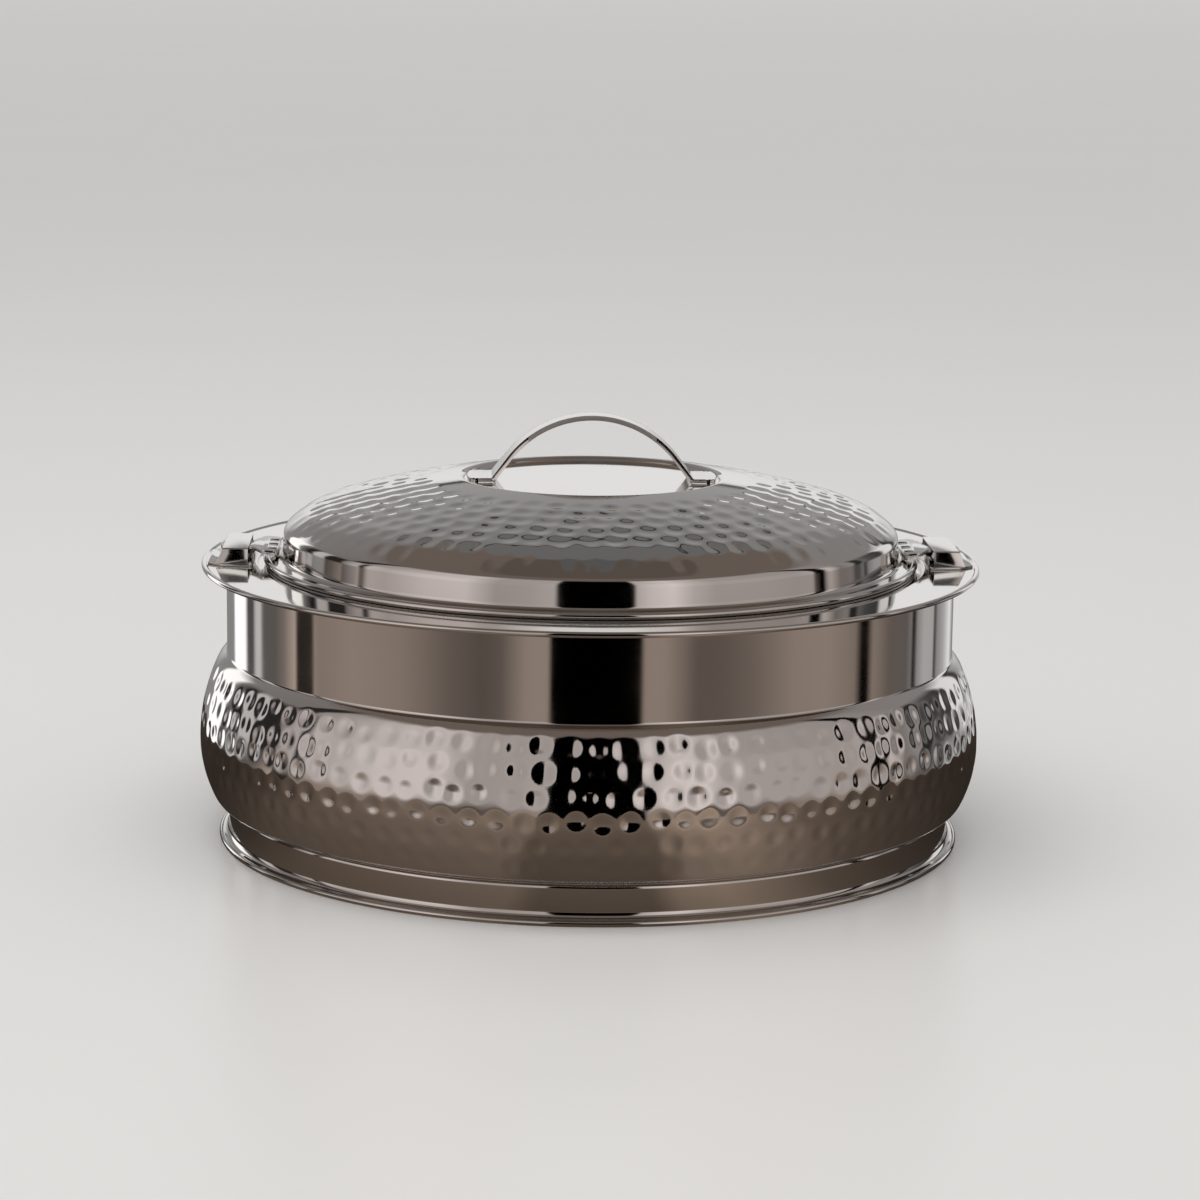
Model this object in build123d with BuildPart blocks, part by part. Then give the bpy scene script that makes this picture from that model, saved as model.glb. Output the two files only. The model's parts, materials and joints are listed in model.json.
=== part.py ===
from build123d import *
from math import acos, asin, cos, degrees, radians, sin, tan
import os

# Insulated serving pot: a double-walled spun body, a double-walled lift-off lid with a
# strap handle, and two thumb latches that slide on the rim. All sizes in millimetres.
# Z is up, the pot stands on Z = 0, and the two latches lie on the X axis.

# ---- sheet and gaps
sheet = 0.8  # wall of every spun shell
foam_gap = 0.3  # between the foam and the shells round it
seat_gap = 0.3  # between the resting lid and the pan
slide_gap = 0.3  # between sliding sheet and what guides it

# ---- rim flange and inner pan
flange_dia = 360.0
flange_height = 128.3
flange_width = 25.6  # from the rolled rim to the step round the lid
rim_bead_dia = 2.6
rim_bead_roll = 0.6  # how far the rolled rim stands over the flange
ledge_depth = 1.4
ledge_step = 0.5
ledge_width = 6.9
pan_draft = 2.0
pan_floor_height = 22.0
pan_corner = 22.0
sheet_bend = 0.96  # at the corners of the ledge

# ---- outer shell
neck_set_in = 11.4  # the neck stands this far inside the rolled rim
crease_radius = 2.5
crease_turn = 52.0
shoulder_radius = 15.0
upper_belly_radius = 82.0
belly_bulge = 12.7  # the belly stands this far outside the neck
belly_height = 46.5
lower_belly_radius = 55.0
haunch_radius = 8.0
shell_bottom = 18.0
shell_lap = 6.2  # flat hem of the shell, over the foot ring

# ---- base plate and foot ring
foot_set_in = 11.8
foot_lap = 3.0  # the foot ring carries this much of the base plate
foot_corner = 2.5
foot_flare = 3.2
foot_flare_radius = 3.0
foot_bead_dia = 2.7
foot_flat = 0.15
base_dish = 1.2
base_dish_dia = 250.0
base_dish_slope = 3.6
base_dish_bend = 1.6

# ---- lid shell
lid_rise = 34.8  # from the brim to the mirror floor of the recess
recess_floor_dia = 116.8
recess_foot_radius = 0.9
recess_wall_angle = 60.0
recess_wall = 0.2
recess_rim_radius = 3.0
crown_slope = 7.5
lid_shoulder_radius = 42.0
lid_corner_radius = 6.0
lid_corner_turn = 41.5
band_height = 10.0  # from the brim to the top of the straight band
band_lean = 4.5  # the band leans in towards its top
cove_radius = 2.0
cove_turn = 75.0
brim_width = 7.1
brim_fall = 0.2
lid_bead_dia = 3.0
lid_bead_roll = 0.3  # how far the lid's rolled edge stands over the brim
lid_bead_lift = 0.4  # between the lid's rolled edge and the liner
lid_edge_gap = 2.7  # between the lid's rolled edge and the step of the flange

# ---- lid liner
liner_lap = 0.3
liner_depth = 9.7
liner_plug_gap = 2.5
liner_corner = 6.0

# ---- handle and its fasteners
strap = 2.2
strap_rise = 28.4
strap_radius = 50.0
strap_foot_angle = 52.0
strap_foot_bend = 1.5
strap_width = 14.0
strap_waist = 29.5  # from here the strap flares to its pads
strap_waist_width = 16.6
strap_flare_angle = 31.0
pad_width = 27.0
pad_gap = 0.8
stud_dia = 5.0
stud_length = 9.0
stud_set_in = 5.6
stud_hole_clearance = 0.3
thread_clearance = 0.05
washer = 1.0
washer_dia = 12.0
nut = 4.0
nut_across_flats = 8.0
foam_pocket_clearance = 1.5

# ---- latches
latch_base = 1.0
latch_base_set_back = 0.9
latch_base_rim_gap = 1.0
latch_base_inner_width = 49.0
latch_base_mid = 14.2
latch_base_mid_width = 46.8
latch_base_outer_width = 35.0
latch_base_corner = 2.0
latch_lip = 0.8
latch_lip_width = 36.0
latch_lip_angle = 70.0
bridge_wall = 0.8
bridge_rise = 7.1
bridge_set_back = 2.5
bridge_length = 14.6
bridge_front_run = 3.0
bridge_side_run = 1.4
bridge_edge = 1.0
slider = 1.6
slider_head_width = 40.0
slider_waist_width = 14.0
slider_waist_set_in = 0.8
slider_neck_run = 5.4
slider_crease_set_in = 0.6
slider_tail_reach = 3.7
slider_corner = 2.5
nose_gap = 1.0  # between the slider's nose and the band of the lid
nose_droop = 0.6
nose_bend = 0.4
nose_clearance = 0.6  # over the rolled edge of the lid
ridge_count = 3
ridge_pitch = 12.0
ridge_length = 4.4
ridge_width = 1.0
ridge_set_in = 0.8
open_clearance = 0.8  # from the drawn-back nose to the lid's rolled edge
pin_dia = 2.4
pin_set_in = 4.8
pin_clearance = 0.25
spring_leaf = 0.5
spring_width = 8.0
spring_set_in = 1.0
spring_pin_gap = 1.8
spring_foot = 1.2
spring_bend = 0.7

# ---- radii
flange_r = flange_dia / 2
rim_bead_r = rim_bead_dia / 2
rim_bead_ring_r = flange_r - rim_bead_r
flange_inner_r = flange_r - flange_width
ledge_r = flange_inner_r - ledge_step
pan_mouth_r = ledge_r - ledge_width
pan_floor_r = pan_mouth_r - pan_draft
neck_r = flange_r - neck_set_in
foot_r = flange_r - foot_set_in
shell_opening_r = foot_r - shell_lap
foot_bead_ring_r = foot_r + foot_flare
lid_bead_r = lid_bead_dia / 2
lid_bead_ring_r = flange_inner_r - lid_edge_gap - lid_bead_r
band_r = lid_bead_ring_r - brim_width
liner_flange_r = lid_bead_ring_r + liner_lap
liner_plug_r = pan_mouth_r - liner_plug_gap
recess_floor_r = recess_floor_dia / 2
pad_end_r = recess_floor_r - pad_gap
stud_spacing = 2 * (pad_end_r - stud_set_in)

# ---- heights
ledge_height = flange_height - ledge_depth
flange_underside = flange_height - sheet
liner_flange_height = ledge_height + seat_gap
liner_floor_height = liner_flange_height - liner_depth
lid_bead_height = liner_flange_height + sheet + lid_bead_lift + lid_bead_r
brim_height = lid_bead_height + lid_bead_r - lid_bead_roll
band_top = brim_height + band_height
recess_floor_height = brim_height + lid_rise
pad_top = recess_floor_height + strap
strap_apex_height = pad_top + strap_rise
washer_height = recess_floor_height - sheet - washer
stud_end = recess_floor_height - stud_length
plate_top = flange_height + latch_base
bridge_top = plate_top + bridge_rise
bridge_ceiling = bridge_top - bridge_wall
slider_top = bridge_ceiling - slide_gap
slider_under = slider_top - slider
lip_top = slider_under - nose_droop - slide_gap
nose_bottom = lid_bead_height + lid_bead_r + nose_clearance

# ---- slopes where one arc of the outer shell runs into the next, in degrees from upright
shoulder_reach = belly_bulge - crease_radius * (1 - cos(radians(crease_turn)))
shoulder_slope = degrees(
    acos(
        (upper_belly_radius - shoulder_radius * cos(radians(crease_turn)) - shoulder_reach)
        / (upper_belly_radius - shoulder_radius)
    )
)
haunch_slope = degrees(
    asin((belly_height - shell_bottom - haunch_radius) / (lower_belly_radius - haunch_radius))
)
crease_top = (
    belly_height
    + upper_belly_radius * sin(radians(shoulder_slope))
    + shoulder_radius * (sin(radians(crease_turn)) - sin(radians(shoulder_slope)))
    + crease_radius * sin(radians(crease_turn))
)

# ---- places of a latch along X
latch_base_inner = flange_inner_r + latch_base_set_back
latch_base_outer = rim_bead_ring_r - rim_bead_r - latch_base_rim_gap
bridge_inner = latch_base_inner + bridge_set_back
bridge_outer = bridge_inner + bridge_length
bridge_top_outer = bridge_outer - bridge_front_run
bridge_top_width = slider_head_width + 2 * (slide_gap + bridge_wall)
bridge_foot_width = bridge_top_width + 2 * bridge_side_run
slider_nose = band_r + nose_gap
slider_waist = bridge_inner - slider_waist_set_in
slider_shoulder = slider_waist - slider_neck_run
slider_crease = slider_shoulder - slider_crease_set_in
slider_travel = lid_bead_ring_r + lid_bead_r + open_clearance - slider_nose
pin_place = bridge_outer - pin_set_in
slider_tail = pin_place + slider_tail_reach
spring_start = bridge_inner + spring_set_in
spring_end = pin_place - spring_pin_gap


# ---- section lines of the spun shells: X is the radius, Y is the height
with BuildLine() as pan_line:
    FilletPolyline(
        (0, pan_floor_height),
        (pan_floor_r, pan_floor_height),
        (pan_mouth_r, ledge_height),
        (ledge_r, ledge_height),
        (flange_inner_r, flange_height),
        (rim_bead_ring_r, flange_height),
        radius=[pan_corner, sheet_bend, sheet_bend / 3, sheet_bend],
    )

with BuildLine() as shell_line:
    neck = Line((neck_r, flange_underside), (neck_r, crease_top))
    crease = JernArc(start=neck @ 1, tangent=(0, -1), radius=crease_radius, arc_size=crease_turn)
    shoulder = JernArc(
        start=crease @ 1,
        tangent=crease % 1,
        radius=shoulder_radius,
        arc_size=shoulder_slope - crease_turn,
    )
    upper_belly = JernArc(
        start=shoulder @ 1,
        tangent=shoulder % 1,
        radius=upper_belly_radius,
        arc_size=-shoulder_slope,
    )
    lower_belly = JernArc(
        start=upper_belly @ 1,
        tangent=upper_belly % 1,
        radius=lower_belly_radius,
        arc_size=-haunch_slope,
    )
    haunch = JernArc(
        start=lower_belly @ 1,
        tangent=lower_belly % 1,
        radius=haunch_radius,
        arc_size=haunch_slope - 90,
    )
    Line(haunch @ 1, (shell_opening_r, shell_bottom))

with BuildLine() as dome_line:
    recess = Line((0, recess_floor_height), (recess_floor_r, recess_floor_height))
    recess_foot = JernArc(
        start=recess @ 1,
        tangent=(1, 0),
        radius=recess_foot_radius,
        arc_size=recess_wall_angle,
    )
    wall = Line(recess_foot @ 1, recess_foot @ 1 + recess_wall * (recess_foot % 1))
    rollover = JernArc(
        start=wall @ 1,
        tangent=wall % 1,
        radius=recess_rim_radius,
        arc_size=-(recess_wall_angle + crown_slope),
    )
    corner_slope = 90 - band_lean - lid_corner_turn
    corner_normal = Vector(sin(radians(corner_slope)), cos(radians(corner_slope)))
    band_normal = Vector(cos(radians(band_lean)), sin(radians(band_lean)))
    band_end = Vector(band_r - band_height * tan(radians(band_lean)), band_top)
    corner_top = band_end + lid_corner_radius * (corner_normal - band_normal)
    shoulder_centre = corner_top - lid_shoulder_radius * corner_normal
    crown_normal = Vector(sin(radians(crown_slope)), cos(radians(crown_slope)))
    crown_reach = rollover @ 1 - shoulder_centre
    crown_radius = (crown_reach.dot(crown_reach) - lid_shoulder_radius**2) / (
        2 * (crown_reach.dot(crown_normal) - lid_shoulder_radius)
    )
    crown_centre = rollover @ 1 - crown_radius * crown_normal
    lid_shoulder_slope = Vector(0, 1).get_angle(shoulder_centre - crown_centre)
    crown = JernArc(
        start=rollover @ 1,
        tangent=rollover % 1,
        radius=crown_radius,
        arc_size=crown_slope - lid_shoulder_slope,
    )
    lid_shoulder = JernArc(
        start=crown @ 1,
        tangent=crown % 1,
        radius=lid_shoulder_radius,
        arc_size=lid_shoulder_slope - corner_slope,
    )
    lid_corner = JernArc(
        start=lid_shoulder @ 1,
        tangent=lid_shoulder % 1,
        radius=lid_corner_radius,
        arc_size=-lid_corner_turn,
    )
    band = Line(
        lid_corner @ 1,
        (band_r - cove_radius * tan(radians(band_lean)), brim_height + cove_radius),
    )

with BuildLine() as lid_line:
    add(dome_line.line)
    cove = JernArc(start=band @ 1, tangent=band % 1, radius=cove_radius, arc_size=cove_turn)
    Line(cove @ 1, (lid_bead_ring_r, brim_height - brim_fall))

with BuildLine() as liner_line:
    FilletPolyline(
        (0, liner_floor_height),
        (liner_plug_r, liner_floor_height),
        (liner_plug_r, liner_flange_height),
        (liner_flange_r, liner_flange_height),
        radius=[liner_corner, sheet_bend],
    )

with BuildLine() as foot_line:
    FilletPolyline(
        (shell_opening_r - foot_lap, shell_bottom),
        (foot_r, shell_bottom),
        (foot_r, foot_bead_dia + sheet),
        (foot_bead_ring_r, foot_bead_dia - sheet / 2),
        radius=[foot_corner, foot_flare_radius],
    )

with BuildLine() as base_line:
    FilletPolyline(
        (0, shell_bottom + sheet - base_dish),
        (base_dish_dia / 2, shell_bottom + sheet - base_dish),
        (base_dish_dia / 2 + base_dish_slope, shell_bottom + sheet),
        (shell_opening_r - foam_gap, shell_bottom + sheet),
        radius=base_dish_bend,
    )


def spun_room(section_line, closing_line, growth):
    """Half section between the axis and a section line, grown or shrunk by one amount."""
    with BuildSketch() as room:
        with BuildLine():
            add(section_line)
            add(closing_line)
        make_face()
        mirror(about=Plane.YZ)
        offset(amount=growth)
        split(bisect_by=Plane.YZ, keep=Keep.TOP)
    return room.sketch


with BuildLine() as shell_closing:
    Polyline(
        (shell_opening_r, shell_bottom),
        (0, shell_bottom),
        (0, flange_underside),
        (neck_r, flange_underside),
    )
shell_room = spun_room(shell_line.line, shell_closing.line, -(sheet + foam_gap))

with BuildLine() as pan_closing:
    Polyline(
        (rim_bead_ring_r, flange_height),
        (rim_bead_ring_r, 2 * flange_height),
        (0, 2 * flange_height),
        (0, pan_floor_height),
    )
pan_room = spun_room(pan_line.line, pan_closing.line, sheet + foam_gap)

with BuildLine() as lid_closing:
    foam_foot_r = band_r + (brim_height - liner_floor_height) * tan(radians(band_lean))
    FilletPolyline(
        band @ 1,
        (foam_foot_r, liner_floor_height),
        (0, liner_floor_height),
        radius=liner_corner,
    )
    Line((0, liner_floor_height), (0, recess_floor_height))
lid_room = spun_room(dome_line.line, lid_closing.line, -(sheet + foam_gap))


# ---- body of the pot
with BuildPart() as inner_pan:
    with BuildSketch(Plane.XZ):
        with BuildLine():
            add(pan_line.line)
            offset(amount=sheet, side=Side.RIGHT)
        make_face()
        with Locations((rim_bead_ring_r, flange_height + rim_bead_roll - rim_bead_r)):
            Circle(rim_bead_r)
    revolve(axis=Axis.Z)

with BuildPart() as outer_shell:
    with BuildSketch(Plane.XZ):
        with BuildLine():
            add(shell_line.line)
            offset(amount=sheet, side=Side.RIGHT)
        make_face()
    revolve(axis=Axis.Z)

with BuildPart() as base_plate:
    with BuildSketch(Plane.XZ):
        with BuildLine():
            add(base_line.line)
            offset(amount=sheet, side=Side.RIGHT)
        make_face()
    revolve(axis=Axis.Z)

with BuildPart() as foot_ring:
    with BuildSketch(Plane.XZ):
        with BuildLine():
            add(foot_line.line)
            offset(amount=sheet, side=Side.RIGHT)
        make_face()
        with Locations((foot_bead_ring_r, foot_bead_dia / 2 - foot_flat)):
            Circle(foot_bead_dia / 2)
        split(bisect_by=Plane.XZ, keep=Keep.BOTTOM)
    revolve(axis=Axis.Z)

with BuildPart() as body_foam:
    with BuildSketch(Plane.XZ):
        add(shell_room)
        add(pan_room, mode=Mode.SUBTRACT)
    revolve(axis=Axis.Z)


# ---- lid
with BuildPart() as lid_shell:
    with BuildSketch(Plane.XZ):
        with BuildLine():
            add(lid_line.line)
            offset(amount=sheet, side=Side.RIGHT)
        make_face()
        with Locations((lid_bead_ring_r, lid_bead_height)):
            Circle(lid_bead_r)
    revolve(axis=Axis.Z)
    with Locations(Plane.XY.offset(recess_floor_height)):
        with GridLocations(stud_spacing, 0, 2, 1):
            Hole(radius=stud_dia / 2 + stud_hole_clearance, depth=2 * sheet)

with BuildPart() as lid_liner:
    with BuildSketch(Plane.XZ):
        with BuildLine():
            add(liner_line.line)
            offset(amount=sheet, side=Side.LEFT)
        make_face()
    revolve(axis=Axis.Z)

with BuildPart() as lid_foam:
    with BuildSketch(Plane.XZ):
        add(lid_room)
    revolve(axis=Axis.Z)
    with BuildSketch(Plane.XY.offset(stud_end - foam_pocket_clearance)):
        with GridLocations(stud_spacing, 0, 2, 1):
            Circle(washer_dia / 2 + foam_pocket_clearance)
    extrude(until=Until.LAST, mode=Mode.SUBTRACT)


# ---- handle: one bent strap, wide at its pads and narrow where it is held
with BuildPart() as handle:
    with BuildSketch(Plane.XZ):
        with BuildLine():
            arch = JernArc(
                start=(0, strap_apex_height),
                tangent=(1, 0),
                radius=strap_radius,
                arc_size=-strap_foot_angle,
            )
            strap_foot = (arch @ 1).X + ((arch @ 1).Y - pad_top) / tan(radians(strap_foot_angle))
            FilletPolyline(
                arch @ 1,
                (strap_foot, pad_top),
                (pad_end_r, pad_top),
                radius=strap_foot_bend,
            )
            offset(amount=strap, side=Side.RIGHT)
        make_face()
        mirror(about=Plane.YZ)
    extrude(amount=pad_width / 2, both=True)
    with BuildSketch(Plane.XY.offset(recess_floor_height)):
        with BuildLine():
            flare = Spline(
                (0, strap_width / 2),
                (strap_waist, strap_waist_width / 2),
                (strap_foot, pad_width / 2),
                tangents=[(1, 0), Vector(1, 0).rotate(Axis.Z, strap_flare_angle)],
            )
            Polyline(flare @ 1, (pad_end_r, pad_width / 2), (pad_end_r, 0), (0, 0), flare @ 0)
        make_face()
        mirror(about=Plane.YZ)
        mirror(about=Plane.XZ)
        Circle(pad_end_r, mode=Mode.INTERSECT)
    extrude(amount=strap + strap_rise, mode=Mode.INTERSECT)

with BuildPart() as handle_studs:
    with BuildSketch(Plane.XY.offset(stud_end)):
        with GridLocations(stud_spacing, 0, 2, 1):
            Circle(stud_dia / 2)
    extrude(amount=stud_length)

with BuildPart() as handle_washers:
    with BuildSketch(Plane.XY.offset(washer_height)):
        with GridLocations(stud_spacing, 0, 2, 1):
            Circle(washer_dia / 2)
            Circle(stud_dia / 2 + stud_hole_clearance, mode=Mode.SUBTRACT)
    extrude(amount=washer)

with BuildPart() as handle_nuts:
    with BuildSketch(Plane.XY.offset(washer_height - nut)):
        with GridLocations(stud_spacing, 0, 2, 1):
            RegularPolygon(nut_across_flats / 2, 6, major_radius=False)
            Circle(stud_dia / 2 + thread_clearance, mode=Mode.SUBTRACT)
    extrude(amount=nut)


# ---- right latch, on +X; the left one is its mirror image
with BuildPart() as right_latch_base:
    with BuildSketch(Plane.XY.offset(flange_height)):
        with BuildLine():
            Polyline(
                (latch_base_inner, 0),
                (latch_base_inner, latch_base_inner_width / 2),
                (latch_base_inner + latch_base_mid, latch_base_mid_width / 2),
                (latch_base_outer, latch_base_outer_width / 2),
                (latch_base_outer, 0),
                close=True,
            )
        make_face()
        mirror(about=Plane.XZ)
    extrude(amount=latch_base)
    fillet(right_latch_base.edges().filter_by(Axis.Z), radius=latch_base_corner)
    with BuildSketch(Plane.YZ.offset(latch_base_inner)):
        with Locations((0, plate_top)):
            Trapezoid(
                latch_lip_width,
                lip_top - plate_top,
                latch_lip_angle,
                align=(Align.CENTER, Align.MIN),
            )
    extrude(amount=latch_lip)

with BuildPart() as right_latch_bridge:
    with BuildSketch(Plane.YZ.offset(bridge_inner)) as bridge_section:
        with BuildLine():
            Polyline(
                (-bridge_foot_width / 2, plate_top),
                (-bridge_top_width / 2, bridge_top),
                (bridge_top_width / 2, bridge_top),
                (bridge_foot_width / 2, plate_top),
                close=True,
            )
        make_face()
        fillet(bridge_section.vertices().group_by(Axis.Y)[-1], radius=bridge_edge)
        with BuildLine():
            Polyline(
                (bridge_wall - bridge_foot_width / 2, plate_top),
                (bridge_wall - bridge_top_width / 2, bridge_ceiling),
                (bridge_top_width / 2 - bridge_wall, bridge_ceiling),
                (bridge_foot_width / 2 - bridge_wall, plate_top),
                close=True,
            )
        make_face(mode=Mode.SUBTRACT)
    extrude(amount=bridge_length)
    front_normal = Vector(bridge_rise, 0, bridge_front_run)
    front = Plane(origin=(bridge_top_outer, 0, bridge_top), z_dir=front_normal)
    split(bisect_by=front, keep=Keep.BOTTOM)

with BuildPart() as right_latch_slider:
    with BuildSketch(Plane.XZ):
        with BuildLine():
            FilletPolyline(
                (slider_tail, slider_top),
                (slider_crease, slider_top),
                (slider_nose, slider_top - nose_droop),
                (slider_nose, nose_bottom),
                radius=[slider_corner, slider + nose_bend],
            )
            offset(amount=slider, side=Side.LEFT)
        make_face()
    extrude(amount=slider_head_width / 2, both=True)
    with BuildSketch(Plane.XY.offset(nose_bottom)) as slider_plan:
        with BuildLine():
            Polyline(
                (slider_nose, 0),
                (slider_nose, slider_head_width / 2),
                (slider_shoulder, slider_head_width / 2),
                (slider_waist, slider_waist_width / 2),
                (slider_tail, slider_waist_width / 2),
                (slider_tail, 0),
                close=True,
            )
        make_face()
        mirror(about=Plane.XZ)
        fillet(slider_plan.vertices(), radius=slider_corner)
        with Locations((pin_place - slider_travel / 2, 0)):
            SlotCenterToCenter(slider_travel, pin_dia + 2 * pin_clearance, mode=Mode.SUBTRACT)
    extrude(amount=slider_top - nose_bottom, mode=Mode.INTERSECT)
    with BuildSketch(Plane.XY.offset(slider_top)):
        with Locations((slider_nose + ridge_set_in + ridge_length / 2, 0)):
            with GridLocations(0, ridge_pitch, 1, ridge_count):
                SlotOverall(ridge_length, ridge_width)
    extrude(amount=-slider)

with BuildPart() as right_latch_pin:
    with BuildSketch(Plane.XY.offset(plate_top)):
        with Locations((pin_place, 0)):
            Circle(pin_dia / 2)
    extrude(amount=bridge_ceiling - plate_top)

with BuildPart() as right_latch_spring:
    with BuildSketch(Plane.XZ):
        with BuildLine():
            spring_rest = plate_top + spring_leaf
            spring_crest = slider_under - slide_gap
            FilletPolyline(
                (spring_start, spring_rest),
                (spring_start + spring_foot, spring_rest),
                (spring_start + 2 * spring_foot, spring_crest),
                (spring_end - 2 * spring_foot, spring_crest),
                (spring_end - spring_foot, spring_rest),
                (spring_end, spring_rest),
                radius=spring_bend,
            )
            offset(amount=spring_leaf, side=Side.RIGHT)
        make_face()
    extrude(amount=spring_width / 2, both=True)


# ---- every piece by the name of its node
pieces = {
    "inner_pan": inner_pan,
    "outer_shell": outer_shell,
    "body_foam": body_foam,
    "base_plate": base_plate,
    "foot_ring": foot_ring,
    "lid_shell": lid_shell,
    "lid_liner": lid_liner,
    "lid_foam": lid_foam,
    "handle": handle,
    "handle_studs": handle_studs,
    "handle_washers": handle_washers,
    "handle_nuts": handle_nuts,
}
right_latch = {
    "latch_base": right_latch_base,
    "latch_bridge": right_latch_bridge,
    "latch_slider": right_latch_slider,
    "latch_pin": right_latch_pin,
    "latch_spring": right_latch_spring,
}
for name, right_piece in right_latch.items():
    with BuildPart() as left_piece:
        mirror(right_piece.part, about=Plane.YZ)
    pieces["right_" + name] = right_piece
    pieces["left_" + name] = left_piece

os.makedirs("parts", exist_ok=True)
for name, piece in pieces.items():
    piece.part.label = name
    export_step(piece.part, "parts/" + name + ".step")
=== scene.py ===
import bpy
from math import acos, asin, cos, degrees, pi, radians, sin, sqrt, tan
from random import Random
from mathutils import Matrix, Vector
from mathutils.kdtree import KDTree
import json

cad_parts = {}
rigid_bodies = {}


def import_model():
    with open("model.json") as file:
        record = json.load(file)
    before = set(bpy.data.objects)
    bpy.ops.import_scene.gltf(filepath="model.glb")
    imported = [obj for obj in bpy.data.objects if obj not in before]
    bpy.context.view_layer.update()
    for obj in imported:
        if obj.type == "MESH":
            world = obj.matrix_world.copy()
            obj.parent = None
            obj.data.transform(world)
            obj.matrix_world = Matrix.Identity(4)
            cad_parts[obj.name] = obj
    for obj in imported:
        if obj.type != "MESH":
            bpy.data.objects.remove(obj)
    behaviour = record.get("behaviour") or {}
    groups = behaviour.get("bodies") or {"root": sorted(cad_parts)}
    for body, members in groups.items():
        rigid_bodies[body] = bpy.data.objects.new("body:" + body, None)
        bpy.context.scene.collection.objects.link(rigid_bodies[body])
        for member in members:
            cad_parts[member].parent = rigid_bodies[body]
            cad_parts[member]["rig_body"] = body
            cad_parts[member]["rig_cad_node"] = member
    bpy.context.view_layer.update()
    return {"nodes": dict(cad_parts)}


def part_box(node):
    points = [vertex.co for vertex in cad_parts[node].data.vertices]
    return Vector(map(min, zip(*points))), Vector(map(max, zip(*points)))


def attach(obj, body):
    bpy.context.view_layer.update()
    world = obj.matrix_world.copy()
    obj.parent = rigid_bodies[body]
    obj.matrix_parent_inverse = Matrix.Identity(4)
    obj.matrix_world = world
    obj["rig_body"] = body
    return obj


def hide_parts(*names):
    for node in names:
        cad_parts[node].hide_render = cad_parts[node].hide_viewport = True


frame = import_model()
print("frame loaded, with", len(frame["nodes"]), "nodes")


joinGap = 0.00001  # points that are nearer to each other than this become one
onAxis = 0.0001  # and a drawn point that is nearer to the pot's axis than this lies on it


# small helpers for working by hand in object and edit mode
def deselectAll():
    for ob in bpy.context.selected_objects:
        ob.select_set(False)


def pick(ob):
    deselectAll()
    ob.select_set(True)
    bpy.context.view_layer.objects.active = ob


def editMode(ob):
    pick(ob)
    bpy.ops.object.mode_set(mode="EDIT")
    bpy.ops.mesh.select_mode(type="VERT")


def objectMode():
    bpy.ops.object.mode_set(mode="OBJECT")


def applyModifier(ob, kind, **settings):
    pick(ob)
    modifier = ob.modifiers.new(kind.lower(), kind)
    for key, value in settings.items():
        setattr(modifier, key, value)
    bpy.ops.object.modifier_apply(modifier=modifier.name)


def smooth(ob, angle=32):
    pick(ob)
    bpy.ops.object.shade_smooth_by_angle(angle=radians(angle))


def closeUp(ob):
    # joins the seam of a spin and its poles, and turns the faces outwards
    editMode(ob)
    bpy.ops.mesh.select_all(action="SELECT")
    bpy.ops.mesh.remove_doubles(threshold=joinGap)
    bpy.ops.mesh.normals_make_consistent(inside=False)
    objectMode()


# the section pen: draws half a section on the XZ plane with runs and bends
def run(length, steps=1, hold=0.0003):
    # a long run gets a short step at each end, so that flats stay flat when shaded smooth
    if steps == 1 and length > 8 * hold:
        return [("run", hold), ("run", length - 2 * hold), ("run", hold)]
    return [("run", length / steps)] * steps


def bend(radius, turn, steps):
    return [("bend", radius, turn, steps)]


def corner(turn):
    return [("corner", turn)]


def backOf(strokes, wall, side, coarser=1):
    # the other skin of a sheet, drawn the other way: side is 1 for a wall on the left of the pen
    back = []
    for stroke in reversed(strokes):
        if stroke[0] == "bend":
            radius = stroke[1] - side * wall * (1 if stroke[2] > 0 else -1)
            back.append(("bend", radius, -stroke[2], max(2, stroke[3] // coarser)))
        elif stroke[0] == "corner":
            back.append(("corner", -stroke[1]))
        else:
            back.append(stroke)
    return back


def rolledEdge(bead, level, wall, fillet=0.0, steps=34):
    # a bead at the end of a sheet whose outer skin runs level above the bead's middle
    curl = degrees(acos((level + fillet) / (bead + fillet)))
    under = asin((level - wall) / bead)
    reach = sqrt((bead + fillet) ** 2 - (level + fillet) ** 2)
    start = bend(fillet, curl, steps=6) if fillet else corner(curl)
    strokes = start + bend(bead, -(270 + curl + degrees(under)), steps) + corner(90 + degrees(under))
    return strokes, reach, bead * cos(under)


def tangentRun(radius, turn):
    # how much a bend shortens each of the two runs that it joins
    return radius * tan(radians(abs(turn)) / 2)


def lengthOf(strokes):
    # a stroke's second part is its length or radius, and a bend's third part is its turn
    drawn = [stroke for stroke in strokes if stroke[0] != "corner"]
    return sum(part[1] if part[0] == "run" else part[1] * radians(abs(part[2])) for part in drawn)


def startSection(name, start):
    deselectAll()
    bpy.ops.mesh.primitive_plane_add(size=0.001, location=(0, 0, 0))
    ob = bpy.context.object
    ob.name = name
    ob.data.name = name
    editMode(ob)
    bpy.ops.mesh.select_all(action="SELECT")
    bpy.ops.mesh.merge(type="CENTER")
    bpy.ops.transform.translate(value=(start[0], 0, start[1]))
    return ob


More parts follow.
